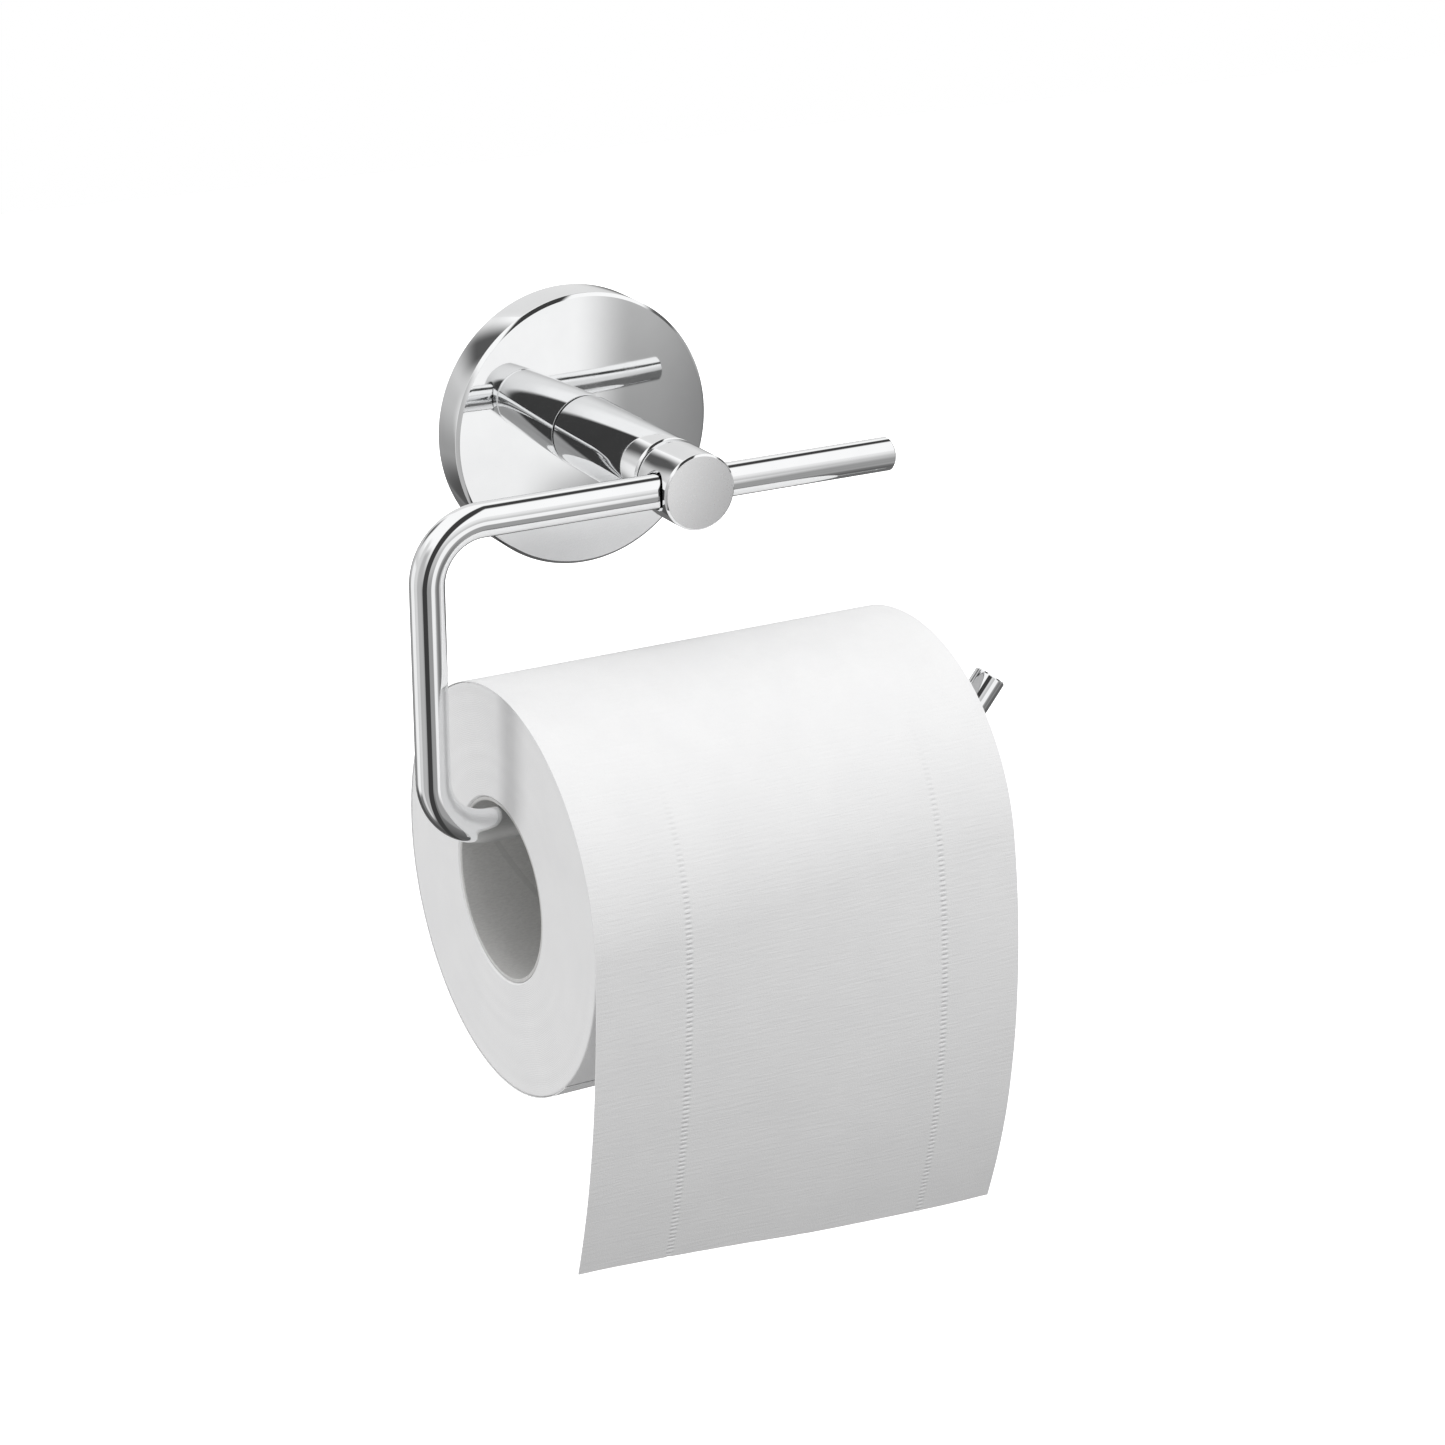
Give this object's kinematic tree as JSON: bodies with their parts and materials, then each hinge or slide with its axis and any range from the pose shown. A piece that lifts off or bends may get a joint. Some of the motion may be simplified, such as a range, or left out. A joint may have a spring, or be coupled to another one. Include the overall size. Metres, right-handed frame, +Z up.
{
  "type": "toilet paper holder",
  "caption": "Wall-mounted chrome toilet paper holder: round rose, post and head carrying a bent round rod with an upturned tip, with a full roll and a hanging sheet.",
  "frame": {"origin": "centre of the rose on the wall's surface, which is the centre of the wall bracket's back face", "axes": "+X to the right along the wall as seen from the room, +Y into the wall, +Z up; the holder stands out towards -Y"},
  "size_m": [0.1571, 0.1399, 0.2092],
  "materials": {
    "polished_chrome": "polished",
    "cast_zinc": "satin",
    "zinc_plated_steel": "satin",
    "black_steel": "satin",
    "grey_nylon": "matte",
    "core_board": "matte",
    "tissue": "matte"
  },
  "bodies": {
    "holder": {"rose_cover": "polished_chrome", "wall_bracket": "cast_zinc", "wall_screw_left": "zinc_plated_steel", "wall_screw_right": "zinc_plated_steel", "wall_plug_left": "grey_nylon", "wall_plug_right": "grey_nylon", "post": "polished_chrome", "backing_disc": "zinc_plated_steel", "lock_washer": "zinc_plated_steel", "post_bolt": "black_steel", "post_dowel": "zinc_plated_steel", "head": "polished_chrome", "head_stud": "zinc_plated_steel", "rose_grub_screw": "black_steel", "arm_grub_screw": "black_steel", "arm_rod": "polished_chrome"},
    "loose_end": {"hanging_sheet": "tissue"},
    "roll": {"roll_core": "core_board", "paper_roll": "tissue"}
  },
  "joints": [
    {"name": "roll_shift", "type": "slide", "parent": "holder", "child": "loose_end", "axis": [1, 0, 0], "range_m": [-0.0015, 0.0105]},
    {"name": "roll_spin", "type": "hinge", "parent": "loose_end", "child": "roll", "pos_m": [0, -0.063, -0.0897], "axis": [1, 0, 0], "continuous": true}
  ]
}
